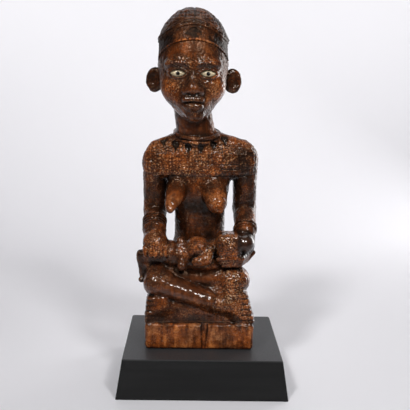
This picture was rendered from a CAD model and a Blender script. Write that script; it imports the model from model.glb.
import math

import bpy
import numpy as np
from mathutils import Matrix, Vector


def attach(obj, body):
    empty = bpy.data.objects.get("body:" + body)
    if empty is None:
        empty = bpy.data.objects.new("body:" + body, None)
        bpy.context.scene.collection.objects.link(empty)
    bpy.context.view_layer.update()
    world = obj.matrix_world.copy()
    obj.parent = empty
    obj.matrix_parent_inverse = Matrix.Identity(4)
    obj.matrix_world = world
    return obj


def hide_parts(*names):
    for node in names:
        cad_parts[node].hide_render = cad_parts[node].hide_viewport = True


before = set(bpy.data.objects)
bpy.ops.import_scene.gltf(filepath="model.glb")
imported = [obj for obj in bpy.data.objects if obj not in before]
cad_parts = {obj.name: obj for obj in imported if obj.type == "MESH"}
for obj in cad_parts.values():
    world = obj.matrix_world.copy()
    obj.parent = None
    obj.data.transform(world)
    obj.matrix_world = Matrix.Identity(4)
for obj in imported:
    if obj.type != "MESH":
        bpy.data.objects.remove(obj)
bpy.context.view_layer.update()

# The figure is worked out in millimetres, Z up, the front towards -Y
MM = 0.001
FOOT = 37.3

# Grid for the mesh: its box, its cell, how many cells make a coarse block, and the triangles to keep
FIGURE_LOW = (-72.0, -52.0, FOOT - 3.2)
FIGURE_HIGH = (60.0, 54.0, 366.0)
CELL = 0.8
BLOCK = 4
MOST_TRIANGLES = 194000

# How far the middle of the body lies to the viewer's left
LEAN_AT_FOOT = 3.2
LEAN_OF_BODY = 2.3
LEAN_OF_HEAD = 8.0

# Seat and body
SLAB_MIDDLE = (0, 0, 49.8)
SLAB_HALF = (52.4, 40, 12.8)
SLAB_ROUNDING = 4
CRACK_MIDDLE = 4.7
UNDER_SHIN = ((-5, -42, 63), (49, 8.5, 15))
RIGHT_TOE_PITCH = 5.4
LEFT_TOE_PITCH = 5.0
TORSO_WIDE = (
    (66, 31), (95, 33), (118, 29), (142, 25), (166, 25), (190, 29),
    (206, 34), (222, 37), (236, 27), (247, 19),
)
TORSO_DEEP = (
    (66, 24), (95, 23), (118, 20), (142, 17.5), (166, 17.5), (190, 18.5),
    (206, 19), (222, 17.5), (236, 17), (247, 17),
)
TORSO_MIDDLE = ((66, 15), (118, 13.5), (166, 12.5), (206, 10.5), (247, 10))
SHOULDER = (43.8, 9.5, 216)
SHOULDER_TILT = 0.025
ELBOW = (44.8, 16.5, 166)
WRIST = (44.4, -12, 148)
UPPER_ARM_RADIUS = 11.8
ELBOW_RADIUS = 11.6
WRIST_RADIUS = 10
RIGHT_BRACELETS = 5
LEFT_BRACELETS = 2
BRACELET_PITCH = 3.5
BRACELET_RADIUS = 1.45
FOREARM_AXIS = (-0.0118, 0.8454, 0.5340)

# Head
SKULL_HALF = (33.2, 39.5, 40)
EYE_X = 14.0
EYE_Z = 299.5
EYE_HALF_LONG = 7.2
EYE_HALF_HIGH = 3.0
EYE_GAP = 0.15
EYE_FRONT = -32.2
EYE_DOME = 1.5
EYE_BACK = -28.0
PUPIL_RADIUS = 2.15
PUPIL_BLUR = 0.5
HAIRLINE_MIDDLE = 302.5
HAIRLINE_RISE = 28.0
RIB_HEIGHT = 327.0
RIB_PEAK = 17.0
RIB_SPREAD = 55.0
HOLLOW_SPACING = 44.0
HOLLOW_HALF_WIDE = (7.5, 15.0)
HOLLOW_DEPTH = 2.2
SOOT_SPACING = 40
SOOT_HALF_WIDE = (8, 18)

# Necklace and the scarred field below it
NECK_MIDDLE = (-1.2, 9.5)
CORD_HEIGHT = 242.3
CORD_RADIUS = 2
THIN_CORD_HEIGHT = 238.4
THIN_CORD_RADIUS = 1.3
TEETH = 6
TOOTH_PITCH = 12
FIELD_EDGE = 200.8
FIELD_TOP = 238.0
BEAD_PITCH = 3.2

# Skin of old varnish: lumps to the metre, and height in metres
SPECK_SCALE = 700
FLECK_SCALE = 620
PIT_SCALE = 560
BLOTCH_SCALE = 110
PATCH_SCALE = 42
GRAIN_SCALE = 260
BUMP_SCALE = 420
BUMP_DEEP = 0.0012

# How much each thing lightens the wood, and what is taken off their sum
OPENNESS_SHARE = 0.38
HEIGHT_SHARE = 0.40
SPECK_SHARE = 0.36
GRAIN_SHARE = 0.10
TONE_SHARE = 0.40
BLOTCH_SHARE = 0.16
LIGHT_LESS = 0.375
FLECK_FROM = 0.615

# Colours in linear light, the wood's from its darkest to its lightest
WOOD_COLOURS = (
    (0.10, (0.0055, 0.0028, 0.0018)),
    (0.34, (0.022, 0.0078, 0.0036)),
    (0.52, (0.076, 0.0220, 0.0070)),
    (0.68, (0.205, 0.0610, 0.0150)),
    (0.86, (0.460, 0.1900, 0.0680)),
)
COOLER = (0.78, 0.80, 0.92)
WARMER = (1.30, 1.04, 0.70)
PALE_VARNISH = (0.54, 0.30, 0.145)
PIT_BLACK = (0.0045, 0.0022, 0.0015)
SOOT_BLACK = (0.0035, 0.0028, 0.0026)
STAND_COLOURS = ((0.3, (0.006, 0.006, 0.006)), (0.7, (0.011, 0.011, 0.011)))
DUST = (0.036, 0.036, 0.038)
EYE_COLOURS = ((0.3, (0.42, 0.33, 0.20)), (0.7, (0.70, 0.59, 0.39)))
EYE_EDGE = (0.16, 0.09, 0.045)
PUPIL = (0.004, 0.003, 0.0025)
PAPER = (0.80, 0.79, 0.82, 1)
STUDIO = (0.96, 0.96, 1.0, 1)

# Where the floor becomes paper, in metres: away from the object, off to the side and in front of it
PAPER_AWAY = (0.36, 0.85)
PAPER_ASIDE = (0.70, 0.95)
PAPER_IN_FRONT = (0.45, 0.10)

# Camera at the photograph's place, in metres, degrees and millimetres of a 36 mm sensor
CAMERA_PLACE = (-0.01433, -0.76051, 0.29750)
CAMERA_YAW = 1.14
CAMERA_PITCH = 9.3718
CAMERA_ROLL = 1.0928
CAMERA_LENS = 68.61
SENSOR = 36


# Distance functions: the distance in millimetres from points p to a form, below nought inside it
def step_between(low, high, v):
    """A smooth step from 0 at low to 1 at high."""
    t = np.clip((v - low) / (high - low), 0.0, 1.0)
    return t * t * (3 - 2 * t)


def bump(t, width):
    """1 at t = 0, down to 0 at a distance of width."""
    u = np.clip(1 - (t / width) ** 2, 0.0, 1.0)
    return u * u


def curve(knots, v):
    out = np.full_like(v, knots[0][1])
    for (place, value), (next_place, next_value) in zip(knots, knots[1:]):
        out = out + (next_value - value) * step_between(place, next_place, v)
    return out


def join(a, b, k):
    h = np.maximum(k - np.abs(a - b), 0.0)
    return np.minimum(a, b) - h * h / (4 * k)


def cut(a, b, k):
    h = np.maximum(k - np.abs(a + b), 0.0)
    return np.maximum(a, -b) + h * h / (4 * k)


def common(a, b, k):
    h = np.maximum(k - np.abs(a - b), 0.0)
    return np.maximum(a, b) + h * h / (4 * k)


def ellipsoid(p, centre, radii):
    qx, qy, qz = [(p[i] - centre[i]) / radii[i] for i in range(3)]
    k0 = np.sqrt(qx * qx + qy * qy + qz * qz)
    k1 = np.sqrt((qx / radii[0]) ** 2 + (qy / radii[1]) ** 2 + (qz / radii[2]) ** 2) + 1e-9
    return k0 * (k0 - 1) / k1


def limb(p, a, b, radius_a, radius_b, deep=1.0):
    ax, ay, az = [p[i] - a[i] for i in range(3)]
    bx, by, bz = [b[i] - a[i] for i in range(3)]
    h = np.clip((ax * bx + ay * by + az * bz) / (bx * bx + by * by + bz * bz), 0.0, 1.0)
    dx, dy, dz = ax - bx * h, (ay - by * h) / deep, az - bz * h
    return np.sqrt(dx * dx + dy * dy + dz * dz) - (radius_a + (radius_b - radius_a) * h)


def block(p, centre, half, radius):
    q = [np.abs(p[i] - centre[i]) - half[i] + radius for i in range(3)]
    out = np.sqrt(sum(np.maximum(v, 0) ** 2 for v in q))
    return out + np.minimum(np.maximum(q[0], np.maximum(q[1], q[2])), 0.0) - radius


def almond(u, w, half, high):
    r = (half * half + high * high) / (2 * high)
    return np.sqrt(u * u + (np.abs(w) + r - high) ** 2) - r


def lean(z):
    return -LEAN_AT_FOOT - LEAN_OF_BODY * (z - 37) / 325 - LEAN_OF_HEAD * step_between(225, 275, z)


def upright(points):
    """points with the lean of the figure taken out."""
    return np.array([points[0] - lean(points[2]), points[1], points[2]])


def mirrored(p):
    """p with both sides of the body laid over one another."""
    return np.abs(p[0]), p[1], p[2]


# Seat and legs
def lap(p):
    m = mirrored(p)
    d = ellipsoid(m, (0, 13, 82), (33, 23.5, 26))
    d = join(d, block(p, (0, 2, 76), (36, 22, 18), 9), 6)
    return join(d, ellipsoid(m, (15, 19, 80), (18, 18, 20)), 6)


def feet(p):
    z = p[2]
    right = limb(p, (9, -32, 81), (28, -29, 80), 7.5, 13.0)
    right = join(right, block(p, (38.6 - (z - 78) * 0.29, -27, 78), (11.6, 12, 16), 5), 4)
    left = limb(p, (-14, -26, 81), (-36, -27, 77), 6.5, 11.5)
    left = join(left, block(p, (-41 + (z - 76) * 0.10, -26, 75), (10.8, 12.5, 14.5), 4.5), 4)
    return np.minimum(right, left)


def thighs(p):
    d = limb(p, (-16, 12, 90), (-37.5, -14, 101), 19, 16.5)
    d = join(d, limb(p, (16, 12, 90), (31, -12, 100), 19, 15), 4)
    d = join(d, limb(p, (-38, -19, 107), (8, -17, 101), 11, 9.5), 4)
    d = join(d, limb(p, (30, -17, 102), (2, -14, 102), 13, 11), 4)
    d = join(d, ellipsoid(p, (-38, -10, 109), (15.5, 18, 12)), 3)
    d = join(d, ellipsoid(p, (-50, -11, 116), (6.5, 8, 6.5)), 3)
    return join(d, ellipsoid(p, (-18, -15, 88), (16, 11, 9)), 3)


def right_shin(p):
    knee = ellipsoid(p, (-39, -22, 99.6), (15.4, 16.5, 15.2))
    d = join(knee, limb(p, (-42, -28.5, 99), (9, -33, 84.4), 11.4, 8.6), 3)
    return join(d, limb(p, (-38, -24, 104.5), (6, -26, 87.5), 9, 6.5), 6)


def left_shin(p):
    knee = ellipsoid(p, (33.6, -18, 101.4), (15.8, 15.5, 14.4))
    return join(knee, limb(p, (31, -22, 94), (-14, -25, 81), 9, 7), 4)


def seat_and_legs(p):
    d = join(lap(p), feet(p), 3)
    d = join(d, thighs(p), 5)
    d = join(d, left_shin(p), 3)
    d = join(d, right_shin(p), 1.2)
    d = join(d, block(p, (-4, -14, 68), (36, 20, 12), 4), 3)
    d = cut(d, ellipsoid(p, *UNDER_SHIN), 3)
    d = join(d, block(p, SLAB_MIDDLE, SLAB_HALF, SLAB_ROUNDING), 2)
    return cut(d, crack(p), 0.8)


def crack(p):
    """The wedge that has split out of the front of the block, wide and deep at its top."""
    x, y, z = p
    up = step_between(FOOT, 62, z)
    aside = np.abs(x - CRACK_MIDDLE - 0.04 * (z - 50)) - 1.4 - 2.0 * up
    return np.maximum(np.maximum(aside, y + 38.6 - 2.4 * up), z - 63)


# Trunk and arms
def torso(p):
    x, y, z = p
    wide, deep, middle = curve(TORSO_WIDE, z), curve(TORSO_DEEP, z), curve(TORSO_MIDDLE, z)
    d = (np.sqrt((x / wide) ** 2 + ((y - middle) / deep) ** 2) - 1) * np.minimum(wide, deep)
    d = common(d, z - 240, 8)
    d = common(d, 62 - z, 4)
    tilted = (np.abs(x), y, z - SHOULDER_TILT * x)
    d = join(d, limb(tilted, (6, 10, 237.4), (41, 9, 226.6), 10, 9.5), 5)
    d = join(d, limb(p, (-2.4, 11, 236), (-1, 9, 262), 19, 18.5), 4)
    d = join(d, block((x, y, z - SHOULDER_TILT * x), (0, 6, 213.5), (45, 11.5, 14.5), 7), 5)
    spine = bump(x, 5) * step_between(20, 27, y) * step_between(95, 120, z) * step_between(235, 215, z)
    blade = ellipsoid(mirrored(p), (19, 21, 214), (14, 9, 17))
    return join(d + 1.8 * spine, blade, 4)


def breasts(p):
    right = limb(p, (-21.5, 2, 189), (-28, -19, 174.5), 11.6, 6)
    right = join(right, ellipsoid(p, (-29.2, -23.5, 171), (3.6, 3.6, 3.8)), 3)
    left = limb(p, (12.6, 2, 188.5), (15.6, -16, 177), 14, 10.2)
    left = join(left, ellipsoid(p, (18.6, -23, 172), (4, 3.8, 4)), 4)
    return np.minimum(right, left)


def arms(p):
    m = (np.abs(p[0]), p[1], p[2] - SHOULDER_TILT * p[0])
    d = ellipsoid(m, SHOULDER, (12.8, 14, 16.5))
    d = join(d, limb(m, (44.8, 10, 212), ELBOW, UPPER_ARM_RADIUS, ELBOW_RADIUS, 1.12), 3)
    return join(d, limb(m, ELBOW, WRIST, ELBOW_RADIUS, WRIST_RADIUS), 2)


def bracelets(p, d):
    m = mirrored(p)
    along = sum((m[i] - WRIST[i]) * FOREARM_AXIS[i] for i in range(3))
    near = ellipsoid(m, (44.6, 0, 155.5), (17, 24, 24))
    out = d
    for i in range(RIGHT_BRACELETS):
        ring = np.sqrt((along - 1 - BRACELET_PITCH * i) ** 2 + (d - 0.1) ** 2) - BRACELET_RADIUS
        missing = (p[0] > 0) & (i >= LEFT_BRACELETS)
        out = join(out, np.maximum(ring, np.where(missing, 9.0, near)), 0.6)
    return out


def right_hand(p):
    d = limb(p, (-44, -12, 147.5), (-43.4, -20, 140), 10.4, 11.2)
    d = join(d, ellipsoid(p, (-42.6, -22.5, 137.6), (12, 12.5, 11.5)), 2)
    for i in range(5):
        across = -52 + 4.75 * i
        forward = 2.6 * (1 - ((i - 2) / 3) ** 2) ** 2
        finger = limb(p, (across, -29 - forward, 135.5), (across * 0.99, -31 - forward, 128.2), 2.7, 2.4)
        d = join(d, finger, 1)
    return d


def left_hand(p):
    d = limb(p, WRIST, (44.5, -13, 134), 9.6, 9)
    for i in range(3):
        z = 125.6 - 3.3 * i
        middle = (40 - i, -30 + i, z)
        d = join(d, limb(p, (47 - i, -14, z + 2), middle, 3.2, 3.1), 1.4)
        d = join(d, limb(p, middle, (17.5 + 2.5 * i, -32.5 + 1.5 * i, z - 0.6), 3.1, 2.0), 1.4)
    return join(d, limb(p, (46, -8, 119.5), (52.6, -9, 127), 3.2, 2.6), 2)


# Necklace
def cord(p, height, rx, ry, tube):
    dx, dy = p[0] - NECK_MIDDLE[0], p[1] - NECK_MIDDLE[1]
    out = (np.sqrt((dx / rx) ** 2 + (dy / ry) ** 2) - 1) * ry
    return np.sqrt(out ** 2 + (p[2] - height - 0.2 * dy) ** 2) - tube


def tooth_outline(x, z, i):
    along = TOOTH_PITCH * (i - 3) + 0.2
    aside, w = np.abs(x - along), z - 229 - 0.007 * (along + 8) ** 2
    point = np.maximum(aside - 0.5 * (w + 6), w - 0.8)
    return np.minimum(point, np.hypot(aside, w - 0.8) - 3.4)


def necklace(p, d):
    x, y, z = p
    d = join(d, cord(p, CORD_HEIGHT, 21.3, 20, CORD_RADIUS), 0.8)
    d = join(d, cord(p, THIN_CORD_HEIGHT, 22.5, 20.6, THIN_CORD_RADIUS), 0.8)
    front = step_between(6, 1, y)
    for i in range(TEETH):
        d = d + 1.4 * step_between(0.4, -0.5, tooth_outline(x, z, i)) * front
    edge = z - FIELD_EDGE - 0.0016 * np.maximum(x - 20, 0) ** 2
    return d + 0.6 * bump(edge, 1.3) * step_between(6, 2, y) * step_between(-34, -30, x)


# Child
def child_body(p):
    d = limb(p, (-14, -19, 124.5), (-57, -12, 124), 13.2, 4.8)
    d = join(d, ellipsoid(p, (-28, -20.5, 128), (8, 11.5, 12.5)), 4)
    d = join(d, ellipsoid(p, (4, -18, 117.5), (20, 12, 8)), 4)
    d = join(d, limb(p, (-57.4, -12, 123), (-55.8, -12, 103.5), 4.8, 3.2), 1.5)
    d = join(d, limb(p, (-54, -12, 100.6), (-57, -14.5, 99.2), 3.6, 2.9), 1.5)
    d = join(d, ellipsoid(p, (-2, -20, 133.5), (12.5, 12.5, 10.8)), 4)
    d = join(d, limb(p, (6, -17, 133), (18, -18, 136), 7, 8), 2)
    near_elbow = (6, -31, 124.6)
    d = join(d, limb(p, (10, -25, 133), near_elbow, 4.6, 5.2), 2.5)
    d = join(d, limb(p, near_elbow, (-3.2, -34, 122), 5.4, 4.8), 1.8)
    far_arm = limb(p, (-18.5, -20, 140), (-17, -31, 117.5), 4.2, 5)
    return join(d, far_arm, 3)


def child_head(p):
    x, y, z = p
    d = block(p, (28.2, -21, 137), (12.4, 12.4, 11.8), 5.5)
    d = join(d, ellipsoid(p, (28, -23, 136.5), (12, 12.5, 11)), 3)
    d = join(d, ellipsoid(p, (42.8, -21, 138.8), (10.2, 13, 10.4)), 1)
    aside = np.abs(z - 136.8)
    front = step_between(-28, -31, y)
    d = d + 1.0 * bump(np.hypot((x - 31) / 3.4, (aside - 4.6) / 2.4), 1) * front
    d = d - 1.3 * bump(np.hypot((x - 27.4) / 5.6, aside / 2.6), 1) * front
    return d + 0.9 * bump(x - 21.6, 1.2) * step_between(4.6, 3.2, aside) * front


# Head
def skull(p):
    d = ellipsoid(p, (0, 4.5, 316.5), SKULL_HALF)
    d = join(d, ellipsoid(p, (0, -8, 295), (28, 27, 34)), 16)
    d = join(d, ellipsoid(p, (0, -18, 270), (15, 14, 13)), 14)
    return join(d, ellipsoid(mirrored(p), (17, -17, 286), (12, 12, 12)), 10)


def face(p, scalp):
    pm = mirrored(p)
    m, y, z = pm
    front = step_between(-20, -24, y)
    d = join(scalp, ellipsoid(pm, (13, -29, 308), (13, 6, 4.2)), 6)
    d = cut(d, ellipsoid(pm, (EYE_X, -39.5, EYE_Z), (10.5, 7.5, 6.8)), 6)
    d = join(d, ellipsoid(pm, (EYE_X, -27.5, EYE_Z), (9.8, 6.6, 6.6)), 2)
    opening = almond(m - EYE_X, z - EYE_Z, EYE_HALF_LONG + EYE_GAP, EYE_HALF_HIGH + EYE_GAP)
    lid = 0.9 + 0.5 * step_between(-0.5, 1.5, z - EYE_Z)
    d = d - lid * bump(opening - 1.3, 1.5) * front
    arch = z - 309.5 + 0.022 * (m - 13) ** 2
    d = d - bump(arch, 2.4) * step_between(3, 6, m) * step_between(25, 21, m) * front
    d = d + 2.4 * step_between(0.2, -0.3, opening) * front
    d = join(d, limb(p, (0, -31.5, 304), (0, -39.8, 287), 3.0, 4.6), 4.5)
    d = join(d, ellipsoid(p, (0, -40.8, 285.4), (5.2, 4.8, 4.6)), 4)
    d = join(d, ellipsoid(pm, (6, -36.4, 284.4), (4.3, 5, 4)), 3)
    d = cut(d, ellipsoid(pm, (3.6, -40.5, 280.6), (1.7, 2.6, 1.3)), 1.4)
    d = join(d, ellipsoid(p, (0, -29.5, 274), (13.5, 8.4, 10.5)), 7)
    d = join(d, ellipsoid(pm, (3.4, -37, 276), (6.8, 4.4, 3.7)), 1.6)
    d = join(d, ellipsoid(p, (0, -37, 269.8), (9.2, 4.8, 4.2)), 1.6)
    line = z - 273.3 - 0.4 * bump(m, 4) + 0.008 * m * m
    d = d + 0.9 * bump(line, 1.0) * step_between(11.5, 8, m) * front
    return join(d, ellipsoid(p, (0, -31, 261.5), (8, 6, 6)), 6)


def ears(p):
    turn = math.radians(12)
    m, y, z = np.abs(p[0] - 0.8) - 37.6, p[1] - 6, p[2] - 293.2
    q = (m * math.cos(turn) + y * math.sin(turn), y * math.cos(turn) - m * math.sin(turn), z)
    d = ellipsoid(q, (0, 0, 0), (9, 4, 11.9))
    return cut(d, ellipsoid(q, (1.2, -4.4, 0.5), (5.4, 3, 8.4)), 1.6)


def hair_places(p):
    """Bearing round the head in degrees, and the heights above the hair's edge and above the rib."""
    x, away, z = p[0], 4 - p[1], p[2]
    bearing = np.degrees(np.arctan2(np.abs(x), away))
    level = away / np.sqrt(x * x + away * away + 1)
    above_edge = z - HAIRLINE_MIDDLE - HAIRLINE_RISE * level
    above_rib = z - RIB_HEIGHT - RIB_PEAK * np.exp(-(bearing / RIB_SPREAD) ** 2)
    return bearing, above_edge, above_rib


def band_patches(p, spacing, half_wide, inset, ragged):
    """Ragged ovals between the hair's edge and the rib, wider towards the sides of the head."""
    bearing, above_edge, above_rib = hair_places(p)
    pit = np.abs((bearing + spacing / 2) % spacing - spacing / 2)
    middle = 0.5 * (above_edge + above_rib) + 1
    high = np.maximum(0.5 * (above_edge - above_rib) - inset, 1)
    wide = np.clip(half_wide[0] + 0.2 * bearing, *half_wide)
    inside = np.sqrt((pit / wide) ** 2 + (middle / high) ** 2) + ragged * noise(p, 3.5, 16)
    return step_between(1.15, 0.7, inside) * step_between(0.8, 2.4, above_edge)


def hollows(p):
    """The hollows over the forehead and temples, from 0 outside to 1 in their depth."""
    return band_patches(p, HOLLOW_SPACING, HOLLOW_HALF_WIDE, 2, 0.35)


def soot(p):
    """The blackened wood in and beside the hollows."""
    beside = band_patches(p, SOOT_SPACING, SOOT_HALF_WIDE, 0.8, 0.75)
    return np.maximum(hollows(p) ** 0.35, beside ** 0.4) * (0.98 + 0.25 * noise(p, 1.6, 26))


def hair(p, scalp):
    bearing, above_edge, above_rib = hair_places(p)
    d = np.minimum(ellipsoid(p, (0, 5.5, 318.5), (35, 41, 43.6)), scalp - 1.3)
    d = d + 1.3 * step_between(0.8, -0.8, above_rib) + HOLLOW_DEPTH * hollows(p)
    d = d - 0.9 * bump(above_rib - 3.8, 1.3) - 0.5 * bump(above_rib - 6, 1.6)
    d = common(d, -above_edge, 1.5)
    rim = np.sqrt(above_edge ** 2 + (scalp - 0.4) ** 2) - 0.8 + 3 * step_between(62, 90, bearing)
    return join(d, rim, 1.2)


def head(p):
    scalp = skull(p)
    d = join(face(p, scalp), ears(p), 2.5)
    return np.minimum(d, hair(p, scalp))


def figure(points):
    """Distance to the whole carving. Each part is worked out only at the heights it reaches."""
    p = upright(points)
    z = p[2]
    d = np.full(z.shape, 60.0)

    def add(form, k, low, high):
        near = (z > low) & (z < high)
        if near.any():
            d[near] = join(d[near], form(p[:, near]), k)

    add(seat_and_legs, 8, 0, 150)
    add(torso, 8, 40, 285)
    add(breasts, 3, 150, 215)
    add(lambda q: bracelets(q, arms(q)), 4, 125, 255)
    near = (z > 190) & (z < 262)
    d[near] = necklace(p[:, near], d[near])
    add(child_body, 3, 80, 165)
    add(right_hand, 2.5, 110, 170)
    add(child_head, 2, 110, 165)
    add(left_hand, 1.2, 100, 170)
    add(head, 4, 238, 400)
    return np.maximum(d, FOOT - z)


# Mesh of a distance function
CORNERS = [(i, j, k) for i in (0, 1) for j in (0, 1) for k in (0, 1)]


def sample(shape, low, high):
    """Values of shape on a grid, fine where the surface is near and copied from coarse blocks elsewhere."""
    low, high = np.array(low), np.array(high)
    count = np.ceil((high - low) / CELL / BLOCK).astype(int) * BLOCK + 1
    axes = [low[i] + CELL * np.arange(count[i]) for i in range(3)]
    rough = np.stack(np.meshgrid(*[a[::BLOCK] for a in axes], indexing="ij"))
    coarse = shape(rough.reshape(3, -1)).reshape(rough.shape[1:])
    near = np.abs(coarse) < CELL * BLOCK * 1.6
    blocks = np.zeros([n - 1 for n in near.shape], bool)
    for i, j, k in CORNERS:
        blocks |= near[i:near.shape[0] - 1 + i, j:near.shape[1] - 1 + j, k:near.shape[2] - 1 + k]
    values, wanted = coarse, blocks
    for axis in range(3):
        values = np.repeat(values, BLOCK, axis=axis)
        wanted = np.repeat(wanted, BLOCK, axis=axis)
    values = values[:count[0], :count[1], :count[2]].copy()
    wanted = np.pad(wanted, ((0, 1),) * 3)
    for axis in range(3):
        wanted |= np.roll(wanted, 1, axis=axis)
    found = np.nonzero(wanted)
    points = np.stack([axes[i][found[i]] for i in range(3)])
    values[found] = in_parts(shape, points)
    return values, low


def in_parts(shape, points, part=300000):
    """shape at the points, worked out a part at a time to spare memory."""
    out = np.empty(points.shape[1])
    for start in range(0, points.shape[1], part):
        out[start:start + part] = shape(points[:, start:start + part])
    return out


def surface(values, low):
    """One vertex in each cell that the surface crosses, and one quad on each crossed edge of the grid."""
    inside = values < 0
    nx, ny, nz = values.shape
    crossed = np.zeros((nx - 1, ny - 1, nz - 1), bool)
    for i, j, k in CORNERS:
        crossed |= inside[i:nx - 1 + i, j:ny - 1 + j, k:nz - 1 + k] != inside[:-1, :-1, :-1]
    cells = np.nonzero(crossed)
    index = np.full(crossed.shape, -1)
    index[cells] = np.arange(len(cells[0]))
    total, hits = np.zeros((len(cells[0]), 3)), np.zeros(len(cells[0]))
    for corner in CORNERS:
        for axis in range(3):
            if corner[axis]:
                continue
            other = [1 if i == axis else corner[i] for i in range(3)]
            start = values[tuple(cells[i] + corner[i] for i in range(3))]
            end = values[tuple(cells[i] + other[i] for i in range(3))]
            hit = (start < 0) != (end < 0)
            share = start / np.where(hit, start - end, 1)
            for i in range(3):
                total[:, i] += np.where(hit, corner[i] + (share if i == axis else 0), 0)
            hits += hit
    vertices = (np.stack(cells, 1) + total / hits[:, None]) * CELL + low
    quads = []
    for axis in range(3):
        first, second = (axis + 1) % 3, (axis + 2) % 3
        here = tuple(slice(0, -1) if i == axis else slice(1, -1) for i in range(3))
        there = tuple(slice(1, None) if i == axis else slice(1, -1) for i in range(3))
        changed = inside[here] != inside[there]
        base = np.array(np.nonzero(changed)).T + 1
        base[:, axis] -= 1
        ring = []
        for step_first, step_second in ((0, 0), (-1, 0), (-1, -1), (0, -1)):
            cell = base.copy()
            cell[:, first] += step_first
            cell[:, second] += step_second
            ring.append(index[cell[:, 0], cell[:, 1], cell[:, 2]])
        quad = np.stack(ring, 1)
        outward = ~inside[here][changed]
        quad[outward] = quad[outward][:, ::-1]
        quads.append(quad)
    return vertices, np.concatenate(quads)


def gradient(shape, points, h=0.25):
    out = np.empty_like(points)
    for i in range(3):
        ahead, behind = points.copy(), points.copy()
        ahead[i] += h
        behind[i] -= h
        out[i] = (in_parts(shape, ahead) - in_parts(shape, behind)) / (2 * h)
    return out


def settle(shape, points, rounds=2):
    """Moves points onto the surface of shape, and gives them with their outward directions."""
    for _ in range(rounds):
        slope = gradient(shape, points)
        far = in_parts(shape, points) / ((slope ** 2).sum(0) + 1e-6)
        points = points - np.clip(far, -0.5 * CELL, 0.5 * CELL) * slope
    slope = gradient(shape, points)
    return points, slope / (np.sqrt((slope ** 2).sum(0)) + 1e-9)


# Fine relief: heights in millimetres that the tool, the scars and the crust leave on the surface
def lattice_value(cells, seed):
    """A repeatable number from 0 to 1 for each whole-number point."""
    h = np.uint32(seed * 144665)
    for cell, factor in zip(cells, (374761393, 668265263, 2147483647)):
        h = h + cell.astype(np.uint32) * np.uint32(factor)
    h = (h ^ (h >> np.uint32(13))) * np.uint32(1274126177)
    h = h ^ (h >> np.uint32(16))
    return (h & np.uint32(0xFFFF)).astype(float) / 65535


def noise(p, size, seed, squash=(1, 1, 1)):
    """Smooth noise from -1 to 1 with lumps about size millimetres wide."""
    q = [p[i] / (size * squash[i]) + 1000 for i in range(3)]
    whole = [np.floor(v) for v in q]
    part = [v - w for v, w in zip(q, whole)]
    part = [t * t * (3 - 2 * t) for t in part]
    out = 0
    for corner in CORNERS:
        weight = 1
        for i in range(3):
            weight = weight * (part[i] if corner[i] else 1 - part[i])
        out = out + weight * lattice_value([whole[i] + corner[i] for i in range(3)], seed)
    return 2 * out - 1


def ripple(v, pitch):
    return np.cos(2 * math.pi * v / pitch)


def scar_beads(s):
    """Rows of small raised scars over the chest, the back of the shoulders and the upper arms."""
    x, y, z = s
    m = np.abs(x)
    round_arm = np.arctan2(m - 44.8, 12 - y) * 12.5
    on_arm = step_between(31.5, 33.5, m)
    across = np.where(m > 32.5, round_arm, m)
    sway = 1.5 * noise(s, 6, 5)
    rows = ripple(across + sway, BEAD_PITCH) + ripple(z + 1.8 * noise(s, 5, 15), BEAD_PITCH)
    low_end = FIELD_EDGE + 1.5 - 9 * step_between(-38, -44, x)
    field = step_between(low_end, low_end + 1.5, z) * step_between(FIELD_TOP, FIELD_TOP - 5, z)
    worn = np.clip(0.65 + 0.25 * noise(s, 7, 6) + 0.5 * noise(s, 3.3, 18), 0, 1.4)
    return 0.28 * np.clip(rows + 0.5, 0, 2.5) * field * worn * (1 - 0.2 * on_arm)


def hatching(s):
    """Fine crossed lines cut in the left shoulder."""
    x, y, z = s
    lines = np.maximum(bump((z % 2.3) - 1.15, 0.55), 0.7 * bump((x % 2.6) - 1.3, 0.5))
    field = step_between(14, 20, x) * step_between(205, 207, z) * step_between(231, 226, z)
    deep = bump(np.abs(z - 210.5) - 2.2, 0.9) * step_between(18, 24, x) * step_between(38, 34, x)
    return -0.32 * lines * field * step_between(8, 2, y) - 0.8 * deep * step_between(4, 0, y)


def hair_relief(s):
    """Short tufts in rings over the cap."""
    bearing, above_edge, above_rib = hair_places(s)
    ring = np.hypot(s[0], s[1] - 5.5)
    across = np.radians(bearing) * np.maximum(ring, 6)
    wave = s[2] + 1.2 * noise(s, 12, 8)
    tufts = ripple(wave, 3.4) * 0.5 + ripple(across + 0.9 * noise(s, 8, 9), 3.6) * 0.5
    cap = step_between(7.5, 9, above_rib)
    rim_nicks = ripple(bearing * 0.6, 3.0) * bump(above_edge, 2.4) * step_between(85, 60, bearing)
    worn = 0.5 * noise(s, 2.8, 23) * (bump(above_edge, 3) + bump(above_rib - 3.8, 4))
    return 0.28 * tufts * cap + 0.22 * rim_nicks + worn + 0.3 * noise(s, 3.5, 10) * cap


def toe_grooves(s):
    x, y, z = s
    along = x + 3 * noise(s, 5, 17)
    right = bump((z - 63.5) % RIGHT_TOE_PITCH - RIGHT_TOE_PITCH / 2, 1.2) * step_between(37, 43, along)
    left = bump((z - 62.0) % LEFT_TOE_PITCH - LEFT_TOE_PITCH / 2, 1.1) * step_between(-41, -46, along)
    reach = step_between(-8, -14, y) * step_between(64, 66, z) * step_between(95, 91, z)
    return -(right + 0.8 * left) * reach


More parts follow.
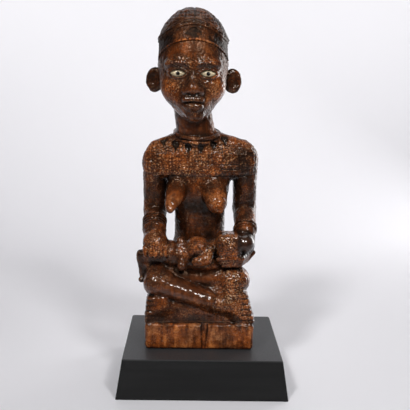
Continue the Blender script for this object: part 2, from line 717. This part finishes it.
def tool_marks(s):
    """Rings on the left knee, grain in the block and the crack in the crown."""
    x, y, z = s
    from_knee = np.hypot(x - 33.6, z - 101.4)
    on_knee = step_between(15, 12, from_knee) * step_between(-22, -27, y)
    knee = 0.14 * ripple(from_knee + noise(s, 6, 14), 3.6) * on_knee
    on_block = step_between(64, 62, z) * step_between(-30, -36, y)
    grain = 0.22 * noise(s, 2.2, 11, (1, 1, 7)) * on_block
    crown = bump(x - 0.8 - 0.4 * noise(s, 4, 13), 0.9) * step_between(346, 350, z) * step_between(12, 4, y)
    return knee + grain - 0.9 * crown


def crust(s):
    """The uneven skin of old varnish over the whole carving."""
    smooth = step_between(12, 8, np.hypot(s[0] - 42.6, s[2] - 138.6)) * step_between(0, -8, s[1])
    facets = 0.20 * noise(s, 8.5, 1) + 0.24 * noise(s, 4.4, 2)
    grit = 0.30 * noise(s, 2.4, 3)
    on_face = step_between(-16, -24, s[1]) * step_between(258, 264, s[2])
    return (facets + grit) * (1 - 0.8 * smooth) * (1 - 0.6 * on_face)


def relief(points):
    """Height of the fine relief at each point."""
    s = upright(points)
    h = crust(s) + toe_grooves(s) + tool_marks(s)
    chest = (s[2] > 180) & (s[2] < 242)
    h[chest] += scar_beads(s[:, chest]) + hatching(s[:, chest])
    top = s[2] > 268
    h[top] += hair_relief(s[:, top])
    # nothing is raised under the foot of the block or in the eye sockets
    h = h * step_between(FOOT + 0.4, FOOT + 2.0, points[2])
    socket = almond(np.abs(s[0]) - EYE_X, s[2] - EYE_Z, EYE_HALF_LONG + 1.2, EYE_HALF_HIGH + 1.2)
    return np.where((socket < 0) & (s[1] < -20), 0.0, h)


# Materials
class Shading:
    """A new material, with short calls for the nodes it is made of."""

    def __init__(self, name):
        self.material = bpy.data.materials.new(name)
        self.material.use_nodes = True
        self.nodes = self.material.node_tree.nodes
        self.links = self.material.node_tree.links
        self.shader = self.nodes["Principled BSDF"]
        self.coordinates = self.nodes.new("ShaderNodeTexCoord").outputs

    def feed(self, value, socket):
        """Gives a socket a number, a colour or what another node puts out."""
        if isinstance(value, bpy.types.NodeSocket):
            self.links.new(value, socket)
        else:
            socket.default_value = value

    def finish(self, **values):
        """Feeds the shader's sockets, named with _ for a space."""
        for name, value in values.items():
            self.feed(value, self.shader.inputs[name.replace("_", " ")])

    def noise(self, scale, detail=3.0, stretch=(1, 1, 1)):
        mapping = self.nodes.new("ShaderNodeMapping")
        mapping.inputs["Scale"].default_value = stretch
        self.links.new(self.coordinates["Object"], mapping.inputs["Vector"])
        texture = self.nodes.new("ShaderNodeTexNoise")
        texture.inputs["Scale"].default_value = scale
        texture.inputs["Detail"].default_value = detail
        self.links.new(mapping.outputs["Vector"], texture.inputs["Vector"])
        return texture.outputs["Fac"]

    def spread(self, source, low, high):
        """source stretched so that low becomes 0 and high becomes 1."""
        node = self.nodes.new("ShaderNodeMapRange")
        node.inputs["From Min"].default_value = low
        node.inputs["From Max"].default_value = high
        self.links.new(source, node.inputs["Value"])
        return node.outputs["Result"]

    def ramp(self, source, stops):
        node = self.nodes.new("ShaderNodeValToRGB")
        while len(node.color_ramp.elements) < len(stops):
            node.color_ramp.elements.new(0.5)
        for element, (place, colour) in zip(node.color_ramp.elements, stops):
            element.position = place
            element.color = (*colour, 1) if isinstance(colour, tuple) else (colour, colour, colour, 1)
        self.links.new(source, node.inputs["Fac"])
        return node.outputs["Color"]

    def math(self, operation, *values):
        node = self.nodes.new("ShaderNodeMath")
        node.operation = operation
        for value, socket in zip(values, node.inputs):
            self.feed(value, socket)
        return node.outputs["Value"]

    def times(self, a, b):
        return self.math("MULTIPLY", a, b)

    def mix(self, share, a, b, blend="MIX"):
        node = self.nodes.new("ShaderNodeMix")
        node.data_type = "RGBA"
        node.blend_type = blend
        for name, value in (("Factor", share), ("A", a), ("B", b)):
            socket = next(i for i in node.inputs if i.name == name and i.enabled)
            self.feed((*value, 1) if isinstance(value, tuple) else value, socket)
        return next(o for o in node.outputs if o.enabled)

    def attribute(self, name):
        node = self.nodes.new("ShaderNodeAttribute")
        node.attribute_name = name
        return node.outputs

    def split_colour(self, colour):
        node = self.nodes.new("ShaderNodeSeparateColor")
        self.links.new(colour, node.inputs["Color"])
        return node.outputs

    def split_vector(self, vector):
        node = self.nodes.new("ShaderNodeSeparateXYZ")
        self.links.new(vector, node.inputs["Vector"])
        return node.outputs

    def bump(self, height, strength, distance):
        node = self.nodes.new("ShaderNodeBump")
        self.feed(height, node.inputs["Height"])
        self.feed(strength, node.inputs["Strength"])
        self.feed(distance, node.inputs["Distance"])
        return node.outputs["Normal"]


def carved_wood():
    """Reddish brown wood under old uneven varnish: dark in the cuts, orange brown where it is rubbed."""
    look = Shading("carved_wood")
    marks = look.attribute("marks")
    openness, height, stain = look.split_colour(marks["Color"])
    crusty = look.attribute("crusty")["Fac"]
    speck = look.spread(look.noise(SPECK_SCALE, 1.5), 0.36, 0.66)
    patch = look.spread(look.noise(PATCH_SCALE), 0.35, 0.65)
    grain = look.spread(look.noise(GRAIN_SCALE, 3, (1, 1, 0.16)), 0.35, 0.65)
    blotch = look.spread(look.noise(BLOTCH_SCALE, 2), 0.36, 0.64)
    light = -LIGHT_LESS
    for value, share in (
        (openness, OPENNESS_SHARE),
        (height, HEIGHT_SHARE),
        (look.times(look.math("SUBTRACT", speck, 0.5), crusty), SPECK_SHARE),
        (grain, GRAIN_SHARE),
        (marks["Alpha"], TONE_SHARE),
        (blotch, BLOTCH_SHARE),
    ):
        light = look.math("ADD", light, look.times(value, share))
    wood = look.mix(1.0, look.ramp(light, WOOD_COLOURS), look.mix(patch, COOLER, WARMER), "MULTIPLY")
    # flecks of old pale varnish, thick in some places and missing in others, and light tops of the scars
    fleck = look.math("ADD", look.noise(FLECK_SCALE, 1.0), look.times(crusty, 0.07))
    fleck = look.spread(fleck, FLECK_FROM, FLECK_FROM + 0.09)
    fleck = look.times(fleck, look.spread(look.noise(75, 2), 0.30, 0.62))
    fleck = look.times(fleck, look.spread(light, 0.22, 0.60))
    fleck = look.times(fleck, look.spread(crusty, 0.05, 0.95))
    beads = look.times(look.spread(height, 0.70, 1.0), look.spread(speck, 0.2, 0.8))
    fleck = look.math("MAXIMUM", fleck, look.times(beads, 0.55))
    wood = look.mix(fleck, wood, PALE_VARNISH)
    pit = look.spread(look.noise(PIT_SCALE, 1.0), 0.38, 0.28)
    wood = look.mix(look.times(pit, look.spread(crusty, 0.0, 0.6)), wood, PIT_BLACK)
    wood = look.mix(stain, wood, SOOT_BLACK)
    rough = look.ramp(speck, ((0.0, 0.42), (1.0, 0.26)))
    lumps = look.bump(look.noise(BUMP_SCALE, 0.5), look.spread(crusty, -0.15, 1.0), BUMP_DEEP)
    look.finish(
        Base_Color=wood, Roughness=look.math("ADD", rough, look.times(stain, 0.16)),
        Specular_IOR_Level=0.22, Specular_Tint=(1.0, 0.62, 0.40, 1),
        Coat_Weight=look.attribute("shiny")["Fac"], Coat_Roughness=0.09,
        Normal=lumps, Coat_Normal=lumps,
    )
    return look.material


def black_wood():
    """Satin black stand with faint grain and dust on its top."""
    look = Shading("plinth_wood")
    grain = look.noise(120, 3, (0.08, 1, 1))
    dust = look.noise(1100, 2)
    upward = look.spread(look.split_vector(look.coordinates["Normal"])["Z"], 0.6, 0.95)
    look.finish(
        Base_Color=look.mix(upward, look.ramp(grain, STAND_COLOURS), DUST),
        Roughness=look.ramp(dust, ((0.3, 0.42), (0.7, 0.55))),
        Specular_IOR_Level=0.3, Normal=look.bump(dust, 0.25, 0.0002),
    )
    return look.material


def inlaid_eye():
    """Ivory-white glaze with a dark pupil and a little brown in the corners."""
    look = Shading("eye_inlay")
    pupil, edge, _ = look.split_colour(look.attribute("marks")["Color"])
    white = look.mix(edge, look.ramp(look.noise(500), EYE_COLOURS), EYE_EDGE)
    look.finish(
        Base_Color=look.mix(pupil, white, PUPIL), Roughness=0.25,
        Specular_IOR_Level=0.2, Coat_Weight=0.08, Coat_Roughness=0.05,
    )
    return look.material


def pale_surround():
    """A pale floor that goes over into plain paper far from the stand, but not behind it."""
    look = Shading("floor")
    look.finish(Base_Color=PAPER, Roughness=0.6)
    place = look.coordinates["Object"]
    distance = look.nodes.new("ShaderNodeVectorMath")
    distance.operation = "LENGTH"
    look.links.new(place, distance.inputs[0])
    x, y, _ = look.split_vector(place)
    beside = look.spread(look.math("ABSOLUTE", x), *PAPER_ASIDE)
    open_side = look.math("MAXIMUM", beside, look.spread(y, *PAPER_IN_FRONT))
    away = look.times(look.spread(distance.outputs["Value"], *PAPER_AWAY), open_side)
    seen = look.nodes.new("ShaderNodeLightPath").outputs["Is Camera Ray"]
    paper = look.nodes.new("ShaderNodeEmission")
    paper.inputs["Color"].default_value = PAPER
    both = look.nodes.new("ShaderNodeMixShader")
    look.links.new(look.times(away, seen), both.inputs["Fac"])
    look.links.new(look.shader.outputs["BSDF"], both.inputs[1])
    look.links.new(paper.outputs["Emission"], both.inputs[2])
    look.links.new(both.outputs["Shader"], look.nodes["Material Output"].inputs["Surface"])
    return look.material


# Pieces
def mesh_object(name, vertices, faces, material):
    mesh = bpy.data.meshes.new(name)
    mesh.from_pydata(vertices, [], faces)
    mesh.validate()
    mesh.polygons.foreach_set("use_smooth", [True] * len(mesh.polygons))
    mesh.materials.append(material)
    piece = bpy.data.objects.new(name, mesh)
    bpy.context.scene.collection.objects.link(piece)
    return piece


def keep_marks(mesh, *marks):
    """Keeps four numbers from 0 to 1 on each vertex, as a colour for the material to read."""
    attribute = mesh.attributes.new("marks", "FLOAT_COLOR", "POINT")
    data = np.stack(marks, 1).astype(np.float32)
    attribute.data.foreach_set("color", np.clip(data, 0, 1).ravel())


def keep_number(mesh, name, values):
    """Keeps one more number from 0 to 1 on each vertex."""
    attribute = mesh.attributes.new(name, "FLOAT", "POINT")
    attribute.data.foreach_set("value", np.clip(values, 0, 1).astype(np.float32))


def vertex_places(mesh):
    out = np.empty(len(mesh.vertices) * 3)
    mesh.vertices.foreach_get("co", out)
    return out.reshape(-1, 3).T


def reduce_triangles(piece, most):
    """Merges the mesh's flattest triangles until no more than most are left."""
    mesh = piece.data
    mesh.calc_loop_triangles()
    if len(mesh.loop_triangles) <= most:
        return
    modifier = piece.modifiers.new("reduce", "DECIMATE")
    modifier.ratio = most / len(mesh.loop_triangles)
    evaluated = piece.evaluated_get(bpy.context.evaluated_depsgraph_get())
    reduced = bpy.data.meshes.new_from_object(evaluated)
    piece.modifiers.clear()
    piece.data = reduced
    reduced.polygons.foreach_set("use_smooth", [True] * len(reduced.polygons))


def openness(points, outward):
    """How open the surroundings of each point are, from 0 in a deep cut to 1 on an open face."""
    total = 0
    for reach, share in ((1.2, 0.25), (3.0, 0.3), (7.0, 0.25), (14.0, 0.2)):
        total = total + share * np.clip(in_parts(figure, points + outward * reach) / reach, 0, 1)
    return total


def stains(s):
    """Places blackened by soot and handling, from 0 for clean to 1 for black."""
    x, y, z = s
    out = np.clip(soot(s), 0, 0.98)
    bearing, above_edge, above_rib = hair_places(s)
    cap = step_between(0, 3, above_edge)
    beside = step_between(45, 70, bearing)
    out = np.maximum(out, (0.58 + 0.30 * beside * step_between(4, -4, above_rib)) * cap)
    below = ellipsoid(s, (-2, -6, 171), (15, 14, 11)) + 2.5 * noise(s, 6, 24)
    out = np.maximum(out, 0.88 * step_between(4, -6, below))
    behind_child = ellipsoid(s, (9, -12, 143), (9, 12, 8)) + 1.5 * noise(s, 4, 25)
    out = np.maximum(out, 0.85 * step_between(3, -4, behind_child))
    for i in range(TEETH):
        tooth = step_between(0.5, -0.3, tooth_outline(x, z, i)) * (y < 4) * (z < 240)
        out = np.maximum(out, 0.97 * tooth)
    cap_of_child = step_between(34.5, 36.5, x) * step_between(15, 12, np.hypot(x - 42.6, z - 138.6))
    out = np.maximum(out, 0.85 * cap_of_child * (y < -6) * (z > 126))
    under = step_between(1.8, 0.2, ellipsoid(s, *UNDER_SHIN)) * step_between(-42, -38.5, y) * (z > 62.6)
    return np.maximum(out, 0.66 * under)


# How light or dark the wood has become in each place: centre, reach and amount
TONES = (
    ((-26, -16, 178), (10, 20, 12), 0.40),
    ((18, -17, 177), (13, 16, 12), 0.32),
    ((-21, -6, 192), (14, 16, 7), -0.25),
    ((14, -8, 192), (15, 16, 6), -0.20),
    ((0, 8, 248), (24, 30, 13), 0.09),
    ((0, -4, 160), (25, 22, 32), -0.05),
    ((-10, -10, 216), (28, 16, 14), -0.02),
    ((-45, 6, 178), (16, 30, 28), -0.20),
    ((45, 6, 184), (16, 30, 44), -0.28),
    ((0, -40, 50), (60, 12, 15), 0.40),
    ((-44, -26, 134), (13, 16, 12), 0.14),
    ((28, -26, 136), (13, 14, 13), 0.16),
    ((-2, -28, 132), (13, 14, 13), 0.12),
    ((-57, -12, 112), (6, 8, 16), -0.25),
    ((33, -24, 100), (16, 16, 15), 0.14),
    ((34, -34, 80), (17, 12, 16), 0.16),
    ((-30, -20, 112), (24, 16, 8), -0.16),
    ((-38, 6, 293), (9, 9, 13), -0.18),
    ((38, 6, 293), (9, 9, 13), -0.22),
    ((0, -28, 312), (30, 14, 14), -0.08),
    ((-13, -28, 333), (7, 10, 6), 0.30),
    ((13, -28, 333), (7, 10, 6), 0.25),
    ((0, 5, 354), (30, 40, 12), -0.12),
    ((-31, 0, 334), (9, 40, 26), -0.30),
    ((31, 0, 334), (9, 40, 26), -0.30),
    ((0, -20, 346), (14, 20, 8), 0.10),
    ((-17, -26, 286), (12, 12, 14), 0.34),
    ((18, -26, 286), (12, 12, 14), 0.44),
    ((34, -6, 214), (22, 18, 16), -0.22),
)


# Where the old varnish is a thick crust, and where it is smooth
CRUSTS = (
    ((-43, -26, 134), (13, 14, 12), 0.45),
    ((28, -28, 136), (15, 14, 14), 0.45),
    ((0, -28, 130), (14, 12, 12), 0.35),
    ((34, -24, 100), (16, 16, 16), 0.28),
    ((32, -32, 80), (22, 14, 16), 0.30),
    ((0, -32, 322), (28, 14, 10), -0.20),
    ((0, -34, 310), (26, 12, 6), 0.25),
    ((-16, -28, 288), (8, 10, 10), 0.25),
    ((16, -28, 288), (8, 10, 10), 0.25),
    ((-20, -8, 216), (34, 20, 18), 0.26),
    ((30, -8, 216), (22, 20, 18), 0.12),
    ((0, -40, 50), (60, 14, 15), -0.20),
    ((-16, -36, 94), (34, 12, 11), -0.40),
    ((-10, -26, 107), (26, 12, 7), -0.40),
    ((42.6, -22, 138.6), (12, 16, 12), -0.60),
    ((-25, -14, 180), (9, 16, 14), -0.30),
    ((0, 0, 253), (24, 28, 14), -0.35),
    ((0, -8, 150), (24, 20, 30), -0.15),
)


# Where the top coat shines, and where it has gone dull
SHINE = (
    ((0, -32, 320), (28, 16, 9), -0.35),
    ((0, -4, 342), (42, 46, 24), -0.35),
    ((-33, -8, 308), (8, 22, 22), -0.40),
    ((33, -8, 308), (8, 22, 22), -0.30),
    ((0, -40, 50), (60, 12, 15), -0.20),
    ((-45, 6, 184), (16, 30, 44), -0.15),
    ((45, 6, 184), (16, 30, 44), -0.15),
    ((-14, -30, 106), (30, 14, 8), -0.35),
    ((-16, -36, 94), (34, 12, 9), 0.40),
    ((42.6, -22, 138.6), (12, 16, 12), 0.40),
    ((25, -12, 276), (12, 18, 16), 0.45),
    ((46, -14, 124), (14, 16, 9), -0.45),
    ((-4, -18, 113), (32, 14, 6), -0.50),
    ((6, -34, 97), (8, 12, 6), -0.35),
    ((40, -10, 158), (16, 16, 12), -0.35),
    ((-46, -8, 166), (14, 16, 14), -0.30),
    ((-36, -36, 74), (20, 12, 13), -0.30),
    ((18, 0, 254), (14, 24, 14), -0.45),
    ((30, -20, 308), (9, 16, 16), -0.30),
    ((-27, -22, 172), (8, 10, 8), 0.20),
    ((0, 5, 330), (40, 44, 16), -0.20),
    ((-20, -8, 192), (17, 14, 8), -0.50),
    ((15, -9, 192), (18, 14, 8), -0.50),
    ((-34, 0, 228), (18, 20, 11), -0.38),
    ((36, 0, 228), (20, 20, 12), -0.38),
    ((8, -12, 212), (16, 12, 8), 0.20),
)


def worn_ridges(s):
    """The light lines along the edge and the rib of the hair."""
    bearing, above_edge, above_rib = hair_places(s)
    rim = bump(above_edge + 0.3, 1.5) * step_between(70, 40, bearing)
    rib = bump(above_rib - 0.6, 1.7) + bump(above_rib - 6.8, 1.7)
    return 0.45 * (rib + rim) * (0.7 + 0.6 * noise(s, 5, 19))


def block_streaks(points):
    """Dark and rubbed streaks down the faces of the block."""
    fine = noise(points, 1.4, 21, (1, 1, 11))
    broad = noise(points, 9, 22, (1, 1, 1.5))
    return (0.46 * fine + 0.16 * broad) * step_between(64, 61, points[2])


def spots(s, start, places):
    """start with soft spots added to it, each given by its centre, reach and amount."""
    out = np.full(s.shape[1], start)
    for centre, reach, amount in places:
        far = sum(((s[i] - centre[i]) / reach[i]) ** 2 for i in range(3))
        out += amount * np.exp(-far ** 2 * 0.7)
    return out


def make_figure(material):
    values, low = sample(figure, FIGURE_LOW, FIGURE_HIGH)
    vertices, quads = surface(values, low)
    points, outward = settle(figure, vertices.T)
    raised = points + outward * relief(points)
    piece = mesh_object("carved_figure", (raised.T * MM).tolist(), quads.tolist(), material)
    reduce_triangles(piece, MOST_TRIANGLES)
    points = vertex_places(piece.data) / MM
    base, outward = settle(figure, points, 1)
    s = upright(base)
    raised = 0.5 + 0.9 * (relief(base) - 0.6 * crust(s))
    tone = spots(s, 0.5, TONES) + worn_ridges(s) + block_streaks(base)
    keep_marks(piece.data, openness(base, outward), raised, stains(s), tone)
    keep_number(piece.data, "crusty", spots(s, 0.45, CRUSTS))
    keep_number(piece.data, "shiny", spots(s, 0.5, SHINE) - 0.8 * soot(s))
    return piece


def make_eye(name, side, material):
    """A lens-shaped inlay, a little domed, set in the socket."""
    rings, around = 14, 72
    vertices, faces, pupil, edge = [], [], [], []
    cx = side * EYE_X + lean(np.array(EYE_Z)).item()
    r = (EYE_HALF_LONG ** 2 + EYE_HALF_HIGH ** 2) / (2 * EYE_HALF_HIGH)
    for ring in range(rings + 1):
        share = ring / rings
        for i in range(around):
            angle = 2 * math.pi * i / around
            # a point of the pointed oval in this direction
            u = EYE_HALF_LONG * math.cos(angle)
            w = (math.sqrt(r * r - u * u) - (r - EYE_HALF_HIGH)) * (1 if math.sin(angle) >= 0 else -1)
            dome = EYE_DOME * (1 - share ** 2)
            inward = 0.10 * (abs(u) * share) ** 1.4 / 3
            y = EYE_FRONT - dome + inward
            vertices.append(((cx + u * share) * MM, y * MM, (EYE_Z + w * share) * MM))
            pupil.append((PUPIL_RADIUS - math.hypot(u * share, w * share)) / PUPIL_BLUR)
            edge.append(max(0.0, (share - 0.82) / 0.18) ** 1.5 * 0.8)
    for u, _, w in vertices[rings * around:]:
        vertices.append((u, EYE_BACK * MM, w))
        pupil.append(0.0)
        edge.append(1.0)
    for ring in range(rings + 1):
        for i in range(around):
            a, b = ring * around + i, ring * around + (i + 1) % around
            faces.append((a, a + around, b + around, b))
    back = [(rings + 1) * around + i for i in range(around)]
    faces.append(tuple(reversed(back)))
    piece = mesh_object(name, vertices, faces, material)
    plain = np.zeros(len(edge))
    keep_marks(piece.data, np.array(pupil), np.array(edge), plain, plain)
    return piece


wood = carved_wood()
figure_piece = make_figure(wood)
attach(figure_piece, "root")
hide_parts("figure")

glaze = inlaid_eye()
for eye_name, side in (("eye_right", -1), ("eye_left", 1)):
    eye = make_eye("inlay_" + eye_name, side, glaze)
    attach(eye, "root")
    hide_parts(eye_name)

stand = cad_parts["plinth"]
stand.data.materials.clear()
stand.data.materials.append(black_wood())


# Floor, light and camera
def sweep():
    """A floor that curves up into a wall behind, so that no horizon shows."""
    half, front, back, radius, high, steps = 3.0, -2.5, 1.6, 0.9, 3.0, 16
    profile = [(front, 0.0), (back - radius, 0.0)]
    for i in range(1, steps + 1):
        angle = math.pi / 2 * i / steps
        profile.append((back - radius + radius * math.sin(angle), radius - radius * math.cos(angle)))
    profile.append((back, high))
    vertices = [(x, y, z) for y, z in profile for x in (-half, half)]
    faces = [(2 * i, 2 * i + 1, 2 * i + 3, 2 * i + 2) for i in range(len(profile) - 1)]
    piece = mesh_object("floor", vertices, faces, pale_surround())


def soft_light(name, place, target, size, power, spread_angle=180):
    light = bpy.data.lights.new(name, "AREA")
    light.shape = "RECTANGLE"
    light.size, light.size_y = size
    light.energy = power
    light.spread = math.radians(spread_angle)
    lamp = bpy.data.objects.new(name, light)
    bpy.context.scene.collection.objects.link(lamp)
    lamp.location = place
    aim = Vector(target) - Vector(place)
    lamp.rotation_euler = aim.to_track_quat("-Z", "Y").to_euler()


def photo_camera():
    yaw, pitch, roll = [math.radians(a) for a in (CAMERA_YAW, CAMERA_PITCH, CAMERA_ROLL)]
    ahead = Vector((math.sin(yaw) * math.cos(pitch), math.cos(yaw) * math.cos(pitch), -math.sin(pitch)))
    right = Vector((math.cos(yaw), -math.sin(yaw), 0))
    up = right.cross(ahead)
    across = right * math.cos(roll) + up * math.sin(roll)
    upward = up * math.cos(roll) - right * math.sin(roll)
    data = bpy.data.cameras.new("camera")
    data.lens = CAMERA_LENS
    data.sensor_width = SENSOR
    data.clip_start = 0.01
    camera = bpy.data.objects.new("camera", data)
    bpy.context.scene.collection.objects.link(camera)
    matrix = Matrix((across, upward, -ahead)).transposed().to_4x4()
    matrix.translation = Vector(CAMERA_PLACE)
    camera.matrix_world = matrix
    bpy.context.scene.camera = camera


def studio():
    """Dim even light all round, which the eye sees as pale paper."""
    world = bpy.data.worlds.new("studio")
    bpy.context.scene.world = world
    world.use_nodes = True
    nodes, links = world.node_tree.nodes, world.node_tree.links
    dim = nodes["Background"]
    dim.inputs["Color"].default_value = STUDIO
    dim.inputs["Strength"].default_value = 0.08
    paper = nodes.new("ShaderNodeBackground")
    paper.inputs["Color"].default_value = PAPER
    both = nodes.new("ShaderNodeMixShader")
    links.new(nodes.new("ShaderNodeLightPath").outputs["Is Camera Ray"], both.inputs["Fac"])
    links.new(dim.outputs["Background"], both.inputs[1])
    links.new(paper.outputs["Background"], both.inputs[2])
    links.new(both.outputs["Shader"], nodes["World Output"].inputs["Surface"])


studio()
sweep()
soft_light("key", (-0.50, -0.95, 1.20), (0, 0, 0.20), (0.20, 0.20), 1.25, 60)
soft_light("fill", (0.42, -0.85, 0.95), (0, 0, 0.20), (0.22, 0.22), 0.75, 60)
soft_light("side", (0.85, 0.75, 0.32), (0, 0, 0.22), (0.30, 0.80), 5.5)
soft_light("top", (0.10, 0.30, 1.40), (0, 0, 0.20), (0.70, 0.60), 3)
for x in (-1.3, 1.3):
    soft_light("wall", (x, 0.35, 1.7), (0.25 * x, 1.6, 0.72), (0.8, 0.8), 7.5, 90)
photo_camera()

bpy.context.scene.view_settings.view_transform = "Standard"
